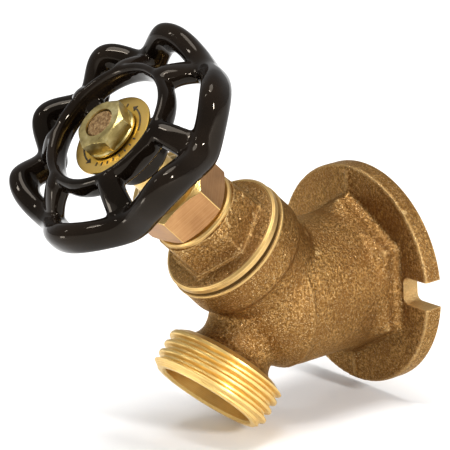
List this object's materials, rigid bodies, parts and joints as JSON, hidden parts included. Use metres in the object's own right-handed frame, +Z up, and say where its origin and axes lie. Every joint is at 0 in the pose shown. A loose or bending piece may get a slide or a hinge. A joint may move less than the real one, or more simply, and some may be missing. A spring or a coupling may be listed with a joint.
{
  "type": "hose bib",
  "caption": "Wall-mounted angle hose bib: slotted wall flange, screwed bonnet, rising stem with scalloped handwheel, and a downward hose-thread spout.",
  "frame": {"origin": "centre of the wall flange's back face, on the inlet axis", "axes": "+Y into the wall along the inlet axis, +Z up, X across; the plane X = 0 holds the inlet, stem and spout axes"},
  "size_m": [0.0523, 0.0838, 0.0887],
  "materials": {
    "cast_bronze": "sand cast, tumbled",
    "machined_brass": "turned",
    "tinted_brass": "machined, heat tinted",
    "black_enamel": "dipped gloss enamel on cast iron",
    "yellow_zinc": "yellow zinc plated",
    "rubber": "matt",
    "fibre": "pressed fibre",
    "graphite_packing": "graphite yarn"
  },
  "bodies": {
    "body": {"valve_body": "cast_bronze", "bonnet_gasket": "fibre", "bonnet": "cast_bronze", "packing_washer": "machined_brass", "packing_ring_lower": "graphite_packing", "packing_ring_upper": "graphite_packing", "packing_gland": "machined_brass", "packing_nut": "tinted_brass"},
    "disc": {"disc_holder": "machined_brass", "disc_retainer": "machined_brass", "seat_disc": "rubber", "disc_screw": "machined_brass"},
    "stem": {"stem": "machined_brass", "handwheel": "black_enamel", "id_plate": "machined_brass", "handle_nut": "yellow_zinc"}
  },
  "joints": [
    {"name": "stem_lift", "type": "slide", "parent": "body", "child": "disc", "axis": [0, -0.6884, 0.7254], "range_m": [0, 0.00425]},
    {"name": "handwheel_turn", "type": "hinge", "parent": "disc", "child": "stem", "pos_m": [0, -0.0228, 0], "axis": [0, -0.6884, 0.7254], "range_deg": [0, 720]}
  ],
  "couplings": [
    {"joint": "stem_lift", "follows": "handwheel_turn", "m_per_rad": 0.00033693}
  ]
}
